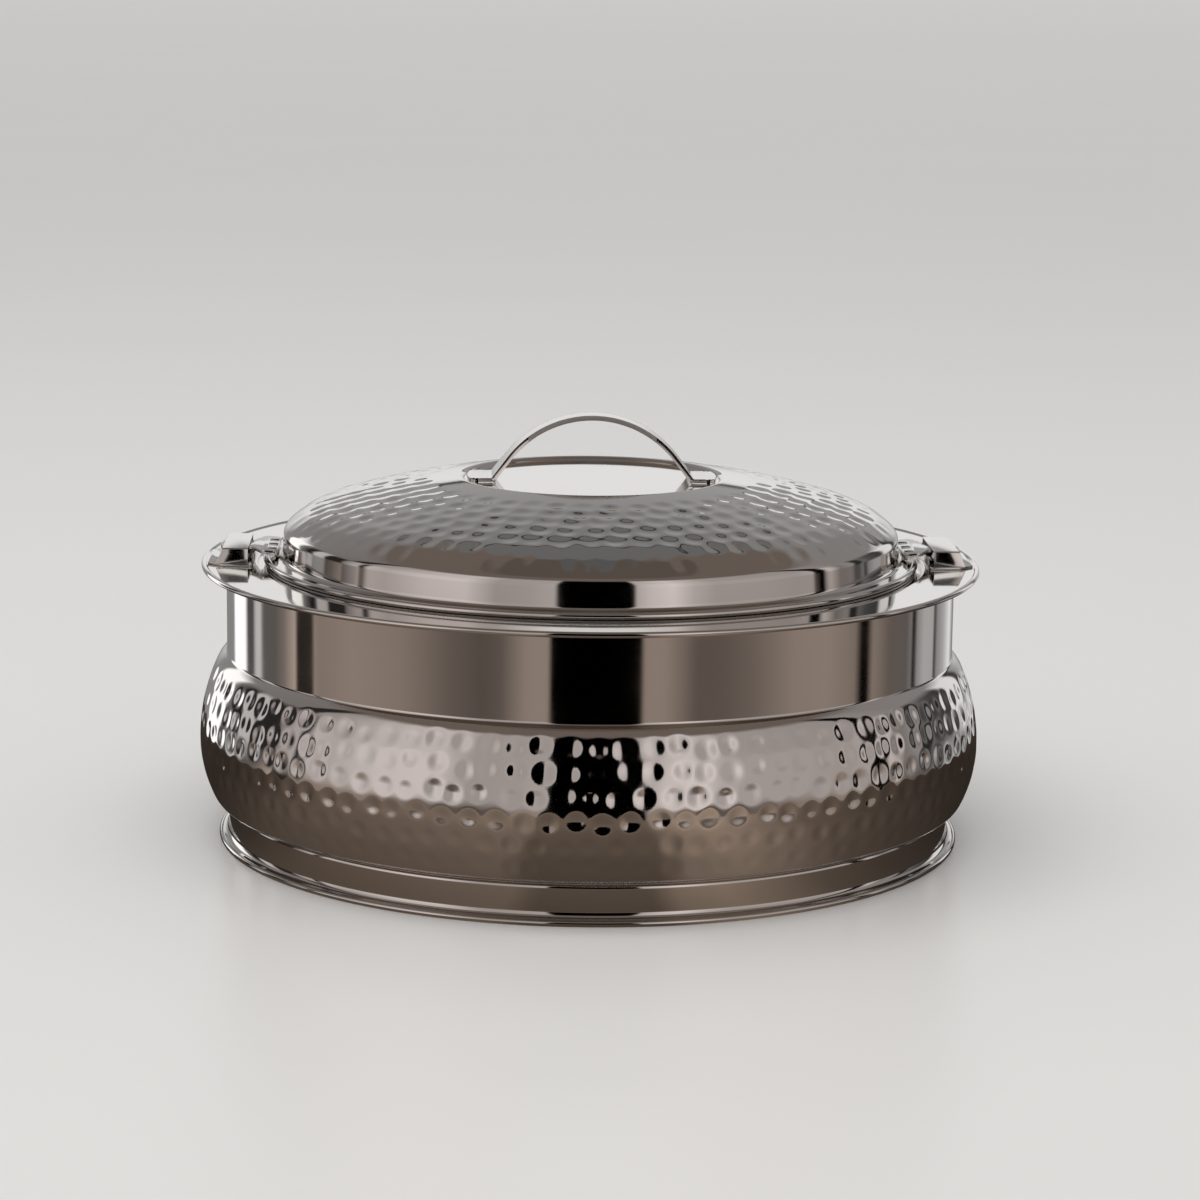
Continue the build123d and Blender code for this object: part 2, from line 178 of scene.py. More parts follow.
def drawSection(name, start, heading, strokes):
    ob = startSection(name, start)
    place = Vector((start[0], 0, start[1]))
    trace = [(0.0, place.copy(), heading)]
    travelled = 0.0
    for stroke in strokes:
        ahead = Vector((cos(radians(heading)), 0, sin(radians(heading))))
        if stroke[0] == "corner":
            heading += stroke[1]
        elif stroke[0] == "run":
            bpy.ops.mesh.extrude_region_move(TRANSFORM_OT_translate={"value": ahead * stroke[1]})
            place += ahead * stroke[1]
            travelled += stroke[1]
            trace.append((travelled, place.copy(), heading))
        else:
            radius, turn, steps = stroke[1:]
            way = 1 if turn > 0 else -1
            centre = place + Vector((-ahead.z, 0, ahead.x)) * radius * way
            bpy.ops.mesh.spin(steps=steps, angle=-radians(turn), center=centre, axis=(0, -1, 0))
            for step in range(1, steps + 1):
                swing = Matrix.Rotation(radians(turn * step / steps), 3, (0, -1, 0))
                reached = centre + swing @ (place - centre)
                swept = radius * radians(abs(turn)) * step / steps
                trace.append((travelled + swept, reached, heading + turn * step / steps))
            place = trace[-1][1].copy()
            travelled = trace[-1][0]
            heading += turn
    objectMode()
    for vertex in ob.data.vertices:
        if abs(vertex.co.x) < onAxis:
            vertex.co.x = 0
    return ob, trace


def addSpun(name, start, heading, strokes, spinSteps, worked=None, wedges=16):
    # worked is the stretch of the section, as distances along it, that will be hammered
    ob, trace = drawSection(name, start, heading, strokes)
    if worked:
        group = ob.vertex_groups.new(name="worked")
        for vertex in ob.data.vertices:
            distance = min(trace, key=lambda entry: (entry[1] - vertex.co).length)[0]
            if worked[0] <= distance <= worked[1]:
                group.add([vertex.index], 1.0, "REPLACE")
    # one wedge is spun finely, then copied round, which is far quicker than one long spin
    wedge = 2 * pi / wedges
    editMode(ob)
    bpy.ops.mesh.select_all(action="SELECT")
    bpy.ops.mesh.spin(steps=spinSteps // wedges, angle=wedge, center=(0, 0, 0), axis=(0, 0, 1))
    bpy.ops.mesh.select_all(action="SELECT")
    bpy.ops.mesh.spin(
        steps=wedges - 1, dupli=True, angle=2 * pi - wedge, center=(0, 0, 0), axis=(0, 0, 1)
    )
    objectMode()
    closeUp(ob)
    return ob, trace


def alongTrace(trace, distance):
    # place and heading at a distance along a drawn section
    for (start, place, heading), (end, nextPlace, nextHeading) in zip(trace, trace[1:]):
        if start <= distance <= end and end > start:
            share = (distance - start) / (end - start)
            return place.lerp(nextPlace, share), heading + (nextHeading - heading) * share
    return trace[-1][1], trace[-1][2]


# how unevenly a hammer falls: the spread of its marks round and across the piece, in shares of the
# stray, and the least and most of a mark's reach and depth
hammerHand = dict(around=0.6, across=0.5, reach=(0.82, 1.12), deep=(0.6, 1.25))


def hammer(ob, trace, marks, side, seed):
    # rows of round hammer marks, pressed into the outer skin along its inward normal
    chance = Random(seed)
    outer = [vertex for vertex in ob.data.vertices if len(vertex.groups)]
    tree = KDTree(len(outer))
    for vertex in outer:
        tree.insert(vertex.co, vertex.index)
    tree.balance()
    push = {}
    for row in range(marks["rows"]):
        distance = marks["firstRow"] + row * marks["rowPitch"]
        place = alongTrace(trace, distance)[0]
        count = round(2 * pi * place.x / marks["pitch"])
        depth = marks["depth"] * marks["fade"][row]
        for mark in range(count):
            stray = chance.gauss(0, hammerHand["around"]) * marks["stray"]
            azimuth = 2 * pi * (mark + 0.5 * (row % 2)) / count + stray / place.x
            swing = Matrix.Rotation(azimuth, 3, "Z")
            slip = chance.gauss(0, hammerHand["across"]) * marks["stray"]
            spot, slope = alongTrace(trace, distance + slip)
            inward = Vector((-sin(radians(slope)), 0, cos(radians(slope)))) * side
            centre = swing @ spot
            inward = swing @ inward
            reach = marks["radius"] * chance.uniform(*hammerHand["reach"])
            deep = depth * chance.uniform(*hammerHand["deep"])
            for found, index, apart in tree.find_range(centre, reach):
                dip = deep * (1 - (apart / reach) ** 2) ** 2
                push[index] = push.get(index, Vector()) + inward * dip
    for index, way in push.items():
        if way.length > marks["deepest"]:
            way = way.normalized() * marks["deepest"]
        ob.data.vertices[index].co += way
    ob.data.update()
    print(ob.name, "hammered at", len(push), "vertices")


# sizes that the pieces share, read from the frame
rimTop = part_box("inner_pan")[1]
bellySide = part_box("outer_shell")[1]

sheet = 0.0008  # wall of every spun shell
rimBead = 0.0013  # radius of the rolled rim
rimRoll = 0.0006  # the rim stands this far over the flange
flangeTop = rimTop.z - rimRoll
neckTop = flangeTop - sheet


# camera, a little above the pot and nearly square to it
view = dict(
    distance=1.6004, height=0.4082, down=10.587, roll=0.683, yaw=0.164, latchTurn=2.2, focal=104.67,
    sensor=36, farthest=200,
)


def addCamera():
    turn = radians(view["latchTurn"])
    place = Vector((-sin(turn), -cos(turn), 0)) * view["distance"]
    deselectAll()
    bpy.ops.object.camera_add(location=(place.x, place.y, view["height"]))
    camera = bpy.context.object
    camera.name = "camera"
    facing = Matrix.Rotation(-radians(view["yaw"] + view["latchTurn"]), 4, "Z")
    tilt = Matrix.Rotation(radians(90 - view["down"]), 4, "X")
    lean = Matrix.Rotation(radians(view["roll"]), 4, "Z")
    camera.matrix_world = Matrix.Translation(camera.location) @ facing @ tilt @ lean
    camera.data.lens = view["focal"]
    camera.data.sensor_width = view["sensor"]
    camera.data.clip_end = view["farthest"]
    bpy.context.scene.camera = camera


addCamera()


# material helpers
def newMaterial(name):
    material = bpy.data.materials.new(name)
    material.use_nodes = True
    tree = material.node_tree
    tree.nodes.clear()
    output = tree.nodes.new("ShaderNodeOutputMaterial")
    return material, tree, output


def addNode(tree, kind, **sockets):
    # sockets are set by name, with _ for a space; a pair is (node, output) to link from
    node = tree.nodes.new(kind)
    for key, value in sockets.items():
        socket = node.inputs[key.replace("_", " ")]
        if isinstance(value, tuple) and isinstance(value[0], bpy.types.Node):
            tree.links.new(value[0].outputs[value[1]], socket)
        else:
            socket.default_value = value
    return node


def calc(tree, operation, *values):
    node = tree.nodes.new("ShaderNodeMath")
    node.operation = operation
    for socket, value in zip(node.inputs, values):
        if isinstance(value, tuple):
            tree.links.new(value[0].outputs[value[1]], socket)
        else:
            socket.default_value = value
    return node, "Value"


def addRamp(tree, source, stops):
    node = tree.nodes.new("ShaderNodeValToRGB")
    tree.links.new(source[0].outputs[source[1]], node.inputs["Fac"])
    ramp = node.color_ramp
    while len(ramp.elements) < len(stops):
        ramp.elements.new(0.5)
    for element, (position, colour) in zip(ramp.elements, sorted(stops)):
        element.position = position
        element.color = (*colour, 1) if isinstance(colour, tuple) else (colour, colour, colour, 1)
    return node, "Color"


def tinted(tint, level):
    return tuple(level * part for part in tint)


def clouded(tree, noise, colour, shade):
    # the colour, with soft clouds of a darker shade in it
    return addRamp(tree, (noise, "Fac"), [(0.3, tinted(colour, shade)), (0.7, colour)])


def fromAxis(tree, parts):
    # the distance from the pot's axis
    squares = [calc(tree, "MULTIPLY", (parts, axis), (parts, axis)) for axis in ("X", "Y")]
    return calc(tree, "SQRT", calc(tree, "ADD", *squares))


# noise that every steel shares: handling haze, fine smears and rings of polishing lines
steelGrain = dict(
    hazeScale=14.0, hazeDetail=5.0, hazeRough=0.6, smearScale=55.0, smearDetail=2.0, ringDetail=3.0,
    ringHeight=0.00001, hazeShade=0.96,
)
# the long sides of the handle's strap are ground: half its width there, and how far along it that goes
strapSides = dict(half=0.0067, swell=1.49, reach=0.0295)


def strapSide(tree, parts):
    half = calc(tree, "MULTIPLY", (parts, "X"), (parts, "X"))
    half = calc(tree, "MULTIPLY_ADD", half, strapSides["swell"], strapSides["half"])
    outside = calc(tree, "GREATER_THAN", calc(tree, "ABSOLUTE", (parts, "Y")), half)
    arch = calc(tree, "LESS_THAN", calc(tree, "ABSOLUTE", (parts, "X")), strapSides["reach"])
    return calc(tree, "MULTIPLY", outside, arch)


def steel(name, colour, gloss, haze, lines, lineScale, bump, groundSides=0.0):
    # bare steel: handling haze in the roughness, and polishing lines that run round the piece
    grain = steelGrain
    material, tree, output = newMaterial(name)
    spot = (addNode(tree, "ShaderNodeTexCoord"), "Object")
    parts = addNode(tree, "ShaderNodeSeparateXYZ", Vector=spot)
    ringSpot = addNode(tree, "ShaderNodeCombineXYZ", X=fromAxis(tree, parts), Y=(parts, "Z"))
    ringNoise = addNode(
        tree, "ShaderNodeTexNoise", Vector=(ringSpot, "Vector"), Scale=lineScale,
        Detail=grain["ringDetail"],
    )
    hazeNoise = addNode(
        tree, "ShaderNodeTexNoise", Vector=spot, Scale=grain["hazeScale"], Detail=grain["hazeDetail"],
        Roughness=grain["hazeRough"],
    )
    smearNoise = addNode(
        tree, "ShaderNodeTexNoise", Vector=spot, Scale=grain["smearScale"], Detail=grain["smearDetail"]
    )
    hazed = calc(tree, "MULTIPLY", (hazeNoise, "Fac"), (smearNoise, "Fac"))
    rough = calc(tree, "MULTIPLY_ADD", hazed, haze, gloss)
    rough = calc(tree, "MULTIPLY_ADD", (ringNoise, "Fac"), lines, rough)
    if groundSides:
        rough = calc(tree, "MULTIPLY_ADD", strapSide(tree, parts), groundSides, rough)
    tint = clouded(tree, hazeNoise, colour, grain["hazeShade"])
    rings = addNode(
        tree, "ShaderNodeBump", Height=(ringNoise, "Fac"), Distance=grain["ringHeight"], Strength=bump
    )
    shader = addNode(
        tree, "ShaderNodeBsdfPrincipled", Base_Color=tint, Metallic=1.0, Roughness=rough,
        Normal=(rings, "Normal"),
    )
    tree.links.new(shader.outputs["BSDF"], output.inputs["Surface"])
    return material


foamGrain = dict(
    cells=900.0, cloud=60.0, cloudDetail=4.0, shade=0.82, depth=0.0004, strength=0.7, rough=0.85,
)


def foam(name, colour):
    # rigid foam with a fine open grain
    material, tree, output = newMaterial(name)
    spot = (addNode(tree, "ShaderNodeTexCoord"), "Object")
    cells = addNode(tree, "ShaderNodeTexVoronoi", Vector=spot, Scale=foamGrain["cells"])
    cloud = addNode(
        tree, "ShaderNodeTexNoise", Vector=spot, Scale=foamGrain["cloud"], Detail=foamGrain["cloudDetail"]
    )
    tint = clouded(tree, cloud, colour, foamGrain["shade"])
    pores = addNode(
        tree, "ShaderNodeBump", Height=(cells, "Distance"), Distance=foamGrain["depth"],
        Strength=foamGrain["strength"],
    )
    shader = addNode(
        tree, "ShaderNodeBsdfPrincipled", Base_Color=tint, Roughness=foamGrain["rough"],
        Normal=(pores, "Normal"),
    )
    tree.links.new(shader.outputs["BSDF"], output.inputs["Surface"])
    return material


polishedSteel = steel(
    "polishedSteel", (0.63, 0.6, 0.575), gloss=0.02, haze=0.1, lines=0.03, lineScale=2600, bump=0.05
)
handleSteel = steel(
    "handleSteel", (0.66, 0.63, 0.6), gloss=0.06, haze=0.16, lines=0.05, lineScale=1800, bump=0.08,
    groundSides=0.36,
)
latchSteel = steel(
    "latchSteel", (0.66, 0.635, 0.61), gloss=0.05, haze=0.14, lines=0.04, lineScale=1800, bump=0.08
)
sliderSteel = steel(
    "sliderSteel", (0.68, 0.655, 0.63), gloss=0.06, haze=0.14, lines=0.05, lineScale=1800, bump=0.08
)
satinSteel = steel(
    "satinSteel", (0.6, 0.585, 0.565), gloss=0.24, haze=0.14, lines=0.1, lineScale=1400, bump=0.3
)
fastenerSteel = steel(
    "fastenerSteel", (0.58, 0.57, 0.55), gloss=0.22, haze=0.2, lines=0.1, lineScale=900, bump=0.3
)
springSteel = steel(
    "springSteel", (0.5, 0.49, 0.48), gloss=0.16, haze=0.2, lines=0.1, lineScale=900, bump=0.3
)
rigidFoam = foam("rigidFoam", (0.78, 0.7, 0.48))


def finishPiece(ob, body, slotName, material, *nodes, angle=32):
    ob.data.materials.clear()
    ob.data.materials.append(material)
    smooth(ob, angle)
    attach(ob, body)
    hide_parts(*nodes)


# outer shell: neck, pressed crease, hammered belly and flat hem
shellShape = dict(
    crease=0.0016, creaseTurn=52.0, shoulder=0.015, upperBelly=0.082, bulge=0.0127,
    bellyHeight=0.0465, lowerBelly=0.055, haunch=0.008, bottom=0.018, hem=0.0062,
    spinSteps=864, innerCoarser=6,
)
shellMarks = dict(
    rows=6, firstRow=0.0104, rowPitch=0.01045, pitch=0.0116, radius=0.0054, depth=0.00055,
    fade=(1.0, 1.0, 1.0, 1.0, 1.0, 0.8), stray=0.0014, deepest=0.00075,
)


def addOuterShell(shape, marks):
    neckRadius = bellySide.x - shape["bulge"]
    creaseReach = shape["crease"] * (1 - cos(radians(shape["creaseTurn"])))
    level = shape["shoulder"] * cos(radians(shape["creaseTurn"])) + shape["bulge"] - creaseReach
    widening = (shape["upperBelly"] - level) / (shape["upperBelly"] - shape["shoulder"])
    shoulderSlope = degrees(acos(widening))
    drop = shape["bellyHeight"] - shape["bottom"] - shape["haunch"]
    haunchSlope = degrees(asin(drop / (shape["lowerBelly"] - shape["haunch"])))
    creaseTop = (
        shape["bellyHeight"]
        + shape["upperBelly"] * sin(radians(shoulderSlope))
        + shape["shoulder"] * (sin(radians(shape["creaseTurn"])) - sin(radians(shoulderSlope)))
        + shape["crease"] * sin(radians(shape["creaseTurn"]))
    )
    upper = run(neckTop - creaseTop) + bend(shape["crease"], shape["creaseTurn"], steps=9)
    shoulder = bend(shape["shoulder"], shoulderSlope - shape["creaseTurn"], steps=7)
    belly = bend(shape["upperBelly"], -shoulderSlope, steps=33)
    belly += bend(shape["lowerBelly"], -haunchSlope, steps=23)
    haunch = bend(shape["haunch"], haunchSlope - 90, steps=9) + run(shape["hem"])
    outside = upper + shoulder + belly + haunch
    inside = backOf(outside, sheet, side=-1, coarser=shape["innerCoarser"])
    section = outside + corner(-90) + run(sheet) + corner(-90) + inside + corner(-90) + run(sheet)
    worked = (lengthOf(upper), lengthOf(upper + shoulder + belly))
    ob, trace = addSpun("outerShell", (neckRadius, neckTop), -90, section, shape["spinSteps"], worked)
    hammer(ob, trace, dict(marks, firstRow=worked[0] + marks["firstRow"]), side=-1, seed=11)
    finishPiece(ob, "pot", "polished_steel", polishedSteel, "outer_shell")


addOuterShell(shellShape, shellMarks)


# inner pan with the ledge for the lid, the flange and its rolled rim
panShape = dict(
    floorCorner=0.022, draft=0.002, mouth=0.147, ledgeDepth=0.0014,
    ledge=0.1539, ledgeStep=0.0005, sheetBend=0.00096, innerBend=0.00032, rimFillet=0.0008, spinSteps=480,
)


def addInnerPan(shape):
    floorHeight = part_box("inner_pan")[0].z + sheet
    rise = flangeTop - shape["ledgeDepth"] - floorHeight
    wallLength = sqrt(shape["draft"] ** 2 + rise**2)
    wallAngle = degrees(acos(shape["draft"] / wallLength))
    stepLength = sqrt(shape["ledgeStep"] ** 2 + shape["ledgeDepth"] ** 2)
    stepAngle = degrees(acos(shape["ledgeStep"] / stepLength))
    floorCut = tangentRun(shape["floorCorner"], wallAngle)
    mouthCut = tangentRun(shape["sheetBend"], wallAngle)
    innerCut = tangentRun(shape["innerBend"], stepAngle)
    outerCut = tangentRun(shape["sheetBend"], stepAngle)
    edge, edgeReach, backReach = rolledEdge(rimBead, rimBead - rimRoll, sheet, shape["rimFillet"])
    bowl = run(shape["mouth"] - shape["draft"] - floorCut)
    bowl += bend(shape["floorCorner"], wallAngle, steps=24)
    wall = run(wallLength - floorCut - mouthCut, steps=6) + bend(shape["sheetBend"], -wallAngle, steps=8)
    ledge = run(shape["ledge"] - shape["mouth"] - mouthCut - innerCut)
    ledge += bend(shape["innerBend"], stepAngle, steps=5)
    step = run(stepLength - innerCut - outerCut) + bend(shape["sheetBend"], -stepAngle, steps=7)
    flangeLength = rimTop.x - rimBead - shape["ledge"] - shape["ledgeStep"] - outerCut
    skin = bowl + wall + ledge + step
    back = run(flangeLength - backReach) + backOf(skin, sheet, side=-1, coarser=3)
    section = skin + run(flangeLength - edgeReach) + edge + back
    ob = addSpun("innerPan", (0, floorHeight), 0, section, shape["spinSteps"])[0]
    finishPiece(ob, "pot", "polished_steel", polishedSteel, "inner_pan")


addInnerPan(panShape)


# lid shell: mirror recess, hammered dome, straight band, cove, brim and rolled edge
lidShape = dict(
    floor=0.0584, foot=0.0009, wallAngle=60.0, wall=0.0002, rim=0.003, crownSlope=7.5,
    shoulder=0.042, corner=0.006, cornerTurn=41.5, bandRadius=0.1431, bandHeight=0.01, bandLean=4.5,
    cove=0.002, brimSlope=2.0, brimFall=0.0002, bead=0.0015, beadRoll=0.0003, fillet=0.0006, rise=0.0348,
    beadSteps=22, spinSteps=544, innerCoarser=8,
)
lidMarks = dict(
    rows=7, firstRow=0.0174, rowPitch=0.0098, pitch=0.0119, radius=0.0066, depth=0.00058,
    fade=(0.8, 1.0, 1.0, 1.0, 1.0, 0.9, 0.5), stray=0.0012, deepest=0.0007,
)


def addLidShell(shape, marks):
    lidLow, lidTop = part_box("lid_shell")
    beadHeight = lidLow.z + shape["bead"]
    beadRing = lidTop.x - shape["bead"]
    brimHeight = beadHeight + shape["bead"] - shape["beadRoll"]
    # recess wall and rim, as radius and height, to know where the crown starts
    angle = radians(shape["wallAngle"])
    crownSlope = radians(shape["crownSlope"])
    footEnd = Vector((shape["floor"] + shape["foot"] * sin(angle), shape["foot"] * (1 - cos(angle))))
    wallEnd = footEnd + shape["wall"] * Vector((cos(angle), sin(angle)))
    rimCentre = wallEnd + shape["rim"] * Vector((sin(angle), -cos(angle)))
    crownNormal = Vector((sin(crownSlope), cos(crownSlope)))
    rimEnd = rimCentre + shape["rim"] * crownNormal + Vector((0, brimHeight + shape["rise"]))
    # the crown is the one arc that runs smoothly from the rim into the shoulder
    lean = radians(shape["bandLean"])
    cornerSlope = radians(90 - shape["bandLean"] - shape["cornerTurn"])
    cornerNormal = Vector((sin(cornerSlope), cos(cornerSlope)))
    bandNarrow = shape["bandRadius"] - shape["bandHeight"] * tan(lean)
    bandTop = Vector((bandNarrow, brimHeight + shape["bandHeight"]))
    cornerTop = bandTop + shape["corner"] * (cornerNormal - Vector((cos(lean), sin(lean))))
    shoulderCentre = cornerTop - shape["shoulder"] * cornerNormal
    reach = rimEnd - shoulderCentre
    crown = reach.dot(reach) - shape["shoulder"] ** 2
    crown /= 2 * (reach.dot(crownNormal) - shape["shoulder"])
    shoulderSlope = degrees(Vector((0, 1)).angle(shoulderCentre - (rimEnd - crown * crownNormal)))
    coveTurn = 90 - shape["bandLean"] - shape["brimSlope"]
    coveDrop = shape["cove"] * (cos(radians(shape["brimSlope"])) - sin(lean))
    coveEnd = shape["bandRadius"] - coveDrop * tan(lean)
    coveEnd += shape["cove"] * (cos(lean) - sin(radians(shape["brimSlope"])))
    bandRun = (shape["bandHeight"] - coveDrop) / cos(lean)
    brimLevel = shape["bead"] - shape["beadRoll"] - shape["brimFall"]
    edge, edgeReach, backReach = rolledEdge(
        shape["bead"], brimLevel, sheet, shape["fillet"], shape["beadSteps"]
    )
    recess = run(shape["floor"]) + bend(shape["foot"], shape["wallAngle"], steps=6) + run(shape["wall"])
    recess += bend(shape["rim"], -shape["wallAngle"] - shape["crownSlope"], steps=14)
    dome = bend(crown, shape["crownSlope"] - shoulderSlope, steps=60)
    dome += bend(shape["shoulder"], shoulderSlope - degrees(cornerSlope), steps=15)
    side = bend(shape["corner"], -shape["cornerTurn"], steps=12) + run(bandRun)
    skin = recess + dome + side + bend(shape["cove"], coveTurn, steps=10)
    brimLength = beadRing - coveEnd
    back = run(brimLength - backReach) + backOf(skin, sheet, side=-1, coarser=shape["innerCoarser"])
    section = skin + run(brimLength - edgeReach) + edge + back
    worked = (lengthOf(recess), lengthOf(recess + dome))
    start = (0, brimHeight + shape["rise"])
    ob, trace = addSpun("lidShell", start, 0, section, shape["spinSteps"], worked)
    hammer(ob, trace, dict(marks, firstRow=worked[0] + marks["firstRow"]), side=-1, seed=23)
    finishPiece(ob, "lid", "polished_steel", polishedSteel, "lid_shell")


addLidShell(lidShape, lidMarks)


# lid liner, foot ring and base plate
linerShape = dict(plug=0.1445, corner=0.006, sheetBend=0.00096, spinSteps=288)
footShape = dict(
    lap=0.159, corner=0.0025, flare=0.0032, flareFall=0.0012, flareBend=0.003, bead=0.00135,
    beadFlat=0.00015, level=0.0023, spinSteps=480,  # the bead is flattened where it stands
)
baseShape = dict(dish=0.0012, dishRadius=0.125, slope=0.0036, bend=0.0016, spinSteps=240)


def addLidLiner(shape):
    low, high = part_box("lid_liner")
    floor = run(shape["plug"] - shape["corner"]) + bend(shape["corner"], 90, steps=14)
    wall = run(high.z - sheet - low.z - shape["corner"] - shape["sheetBend"])
    wall += bend(shape["sheetBend"], -90, steps=7)
    under = floor + wall + run(high.x - shape["plug"] - shape["sheetBend"])
    section = under + corner(90) + run(sheet) + corner(90) + backOf(under, sheet, side=1, coarser=2)
    ob = addSpun("lidLiner", (0, low.z), 0, section, shape["spinSteps"])[0]
    finishPiece(ob, "lid", "satin_steel", satinSteel, "lid_liner")


def addFootRing(shape):
    low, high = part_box("foot_ring")
    ring = high.x - shape["bead"]
    wallRadius = ring - shape["flare"]
    slope = degrees(Vector((0, -1)).angle(Vector((shape["flare"], -shape["flareFall"]))))
    legLength = sqrt(shape["flare"] ** 2 + shape["flareFall"] ** 2)
    flareTop = shape["level"] + shape["flareFall"]
    cut = tangentRun(shape["flareBend"], slope)
    beadHeight = shape["bead"] - shape["beadFlat"]
    above = (shape["level"] - beadHeight) * sin(radians(slope))
    edge, edgeReach, backReach = rolledEdge(shape["bead"], above, sheet)
    shift = (shape["level"] - beadHeight) * cos(radians(slope))
    hem = run(wallRadius - shape["corner"] - shape["lap"]) + bend(shape["corner"], -90, steps=10)
    wall = run(high.z - shape["corner"] - flareTop - cut) + bend(shape["flareBend"], slope, steps=9)
    skin = hem + wall
    leg = legLength - cut + shift
    back = run(leg - backReach) + backOf(skin, sheet, side=-1, coarser=2)
    section = skin + run(leg - edgeReach) + edge + back + corner(-90) + run(sheet)
    ob = addSpun("footRing", (shape["lap"], high.z), 0, section, shape["spinSteps"])[0]
    for vertex in ob.data.vertices:
        vertex.co.z = max(vertex.co.z, low.z)
    finishPiece(ob, "pot", "polished_steel", polishedSteel, "foot_ring")


def addBasePlate(shape):
    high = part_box("base_plate")[1]
    angle = degrees(Vector((1, 0)).angle(Vector((shape["slope"], shape["dish"]))))
    leg = sqrt(shape["slope"] ** 2 + shape["dish"] ** 2)
    cut = tangentRun(shape["bend"], angle)
    dish = run(shape["dishRadius"] - cut) + bend(shape["bend"], angle, steps=5) + run(leg - 2 * cut)
    rest = high.x - shape["dishRadius"] - shape["slope"] - cut
    skin = dish + bend(shape["bend"], -angle, steps=5) + run(rest)
    section = skin + corner(-90) + run(sheet) + corner(-90) + backOf(skin, sheet, side=-1)
    ob = addSpun("basePlate", (0, high.z - shape["dish"]), 0, section, shape["spinSteps"])[0]
    finishPiece(ob, "pot", "satin_steel", satinSteel, "base_plate")


addLidLiner(linerShape)
addFootRing(footShape)
addBasePlate(baseShape)
print("spun pieces done")


# handle: one bent strap, narrow where it is held and wide at its two pads
handleShape = dict(
    strap=0.0022, radius=0.05, footAngle=52.0, footBend=0.0015, apexHalf=0.007, waist=0.0295,
    waistHalf=0.0083, padHalf=0.0135, flareEase=0.45, cornerStart=0.005, cornerBevel=0.0022,
    edge=0.0007, sharpest=50, smooth=40,
)
# how many steps each stretch of the strap gets, from the middle outwards, and how many across its half
handleSteps = dict(arch=30, leg=10, foot=8, pad=5, across=7, corner=5, edge=3)


def addHandle(shape, steps):
    low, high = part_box("handle")
    padTop = low.z + shape["strap"]
    archEnd = shape["radius"] * sin(radians(shape["footAngle"]))
    archFall = shape["radius"] * (1 - cos(radians(shape["footAngle"])))
    legFall = high.z - archFall - padTop
    legLength = legFall / sin(radians(shape["footAngle"]))
    padStart = archEnd + legFall / tan(radians(shape["footAngle"]))
    cut = tangentRun(shape["footBend"], shape["footAngle"])
    arch = bend(shape["radius"], -shape["footAngle"], steps["arch"]) + run(legLength - cut, steps["leg"])
    foot = bend(shape["footBend"], shape["footAngle"], steps["foot"])
    foot += run(high.x - padStart - cut, steps["pad"])
    ob = drawSection("handle", (0, high.z), 0, arch + foot)[0]
    editMode(ob)
    for step in range(steps["across"]):
        bpy.ops.mesh.select_all(action="DESELECT")
        objectMode()
        for vertex in ob.data.vertices:
            vertex.select = vertex.co.y > step - 0.5
        editMode(ob)
        bpy.ops.mesh.extrude_region_move(TRANSFORM_OT_translate={"value": (0, 1, 0)})
    objectMode()
    for vertex in ob.data.vertices:
        share = vertex.co.y / steps["across"]
        x = vertex.co.x
        if x < shape["waist"]:
            flare = (x / shape["waist"]) ** 2
            half = shape["apexHalf"] + (shape["waistHalf"] - shape["apexHalf"]) * flare
        else:
            flare = min(1, (x - shape["waist"]) / (padStart - shape["waist"]))
            flare = (1 - shape["flareEase"]) * flare + shape["flareEase"] * flare**2
            half = shape["waistHalf"] + (shape["padHalf"] - shape["waistHalf"]) * flare
        vertex.co.y = share * half
        if x > padStart:
            end = sqrt(high.x**2 - vertex.co.y**2)
            vertex.co.x = padStart + (x - padStart) * (end - padStart) / (high.x - padStart)
    applyModifier(ob, "MIRROR", use_axis=(True, True, False), merge_threshold=joinGap)
    editMode(ob)
    bpy.ops.mesh.select_all(action="SELECT")
    bpy.ops.mesh.normals_make_consistent(inside=False)
    bpy.ops.mesh.select_all(action="DESELECT")
    objectMode()
    for vertex in ob.data.vertices:
        onSide = abs(abs(vertex.co.y) - shape["padHalf"]) < joinGap
        vertex.select = onSide and abs(vertex.co.x) > padStart + shape["cornerStart"]
    editMode(ob)
    bpy.ops.mesh.bevel(affect="VERTICES", offset=shape["cornerBevel"], segments=steps["corner"])
    objectMode()
    topFace = min(ob.data.polygons, key=lambda face: abs(face.center.x))
    if topFace.normal.z < 0:
        editMode(ob)
        bpy.ops.mesh.select_all(action="SELECT")
        bpy.ops.mesh.flip_normals()
        objectMode()
    applyModifier(ob, "SOLIDIFY", thickness=shape["strap"], offset=-1, use_even_offset=True)
    applyModifier(
        ob, "BEVEL", width=shape["edge"], segments=steps["edge"], limit_method="ANGLE",
        angle_limit=radians(shape["sharpest"]),
    )
    closeUp(ob)
    finishPiece(ob, "lid", "handle_steel", handleSteel, "handle", angle=shape["smooth"])


addHandle(handleShape, handleSteps)


# latches: each CAD sheet is copied, joined up and given softened edges
latchEdges = dict(
    pressing=0.00022, slider=0.0003, segments=2, seam=0.000002, flattest=0.5, sharpest=35, smooth=30,
)


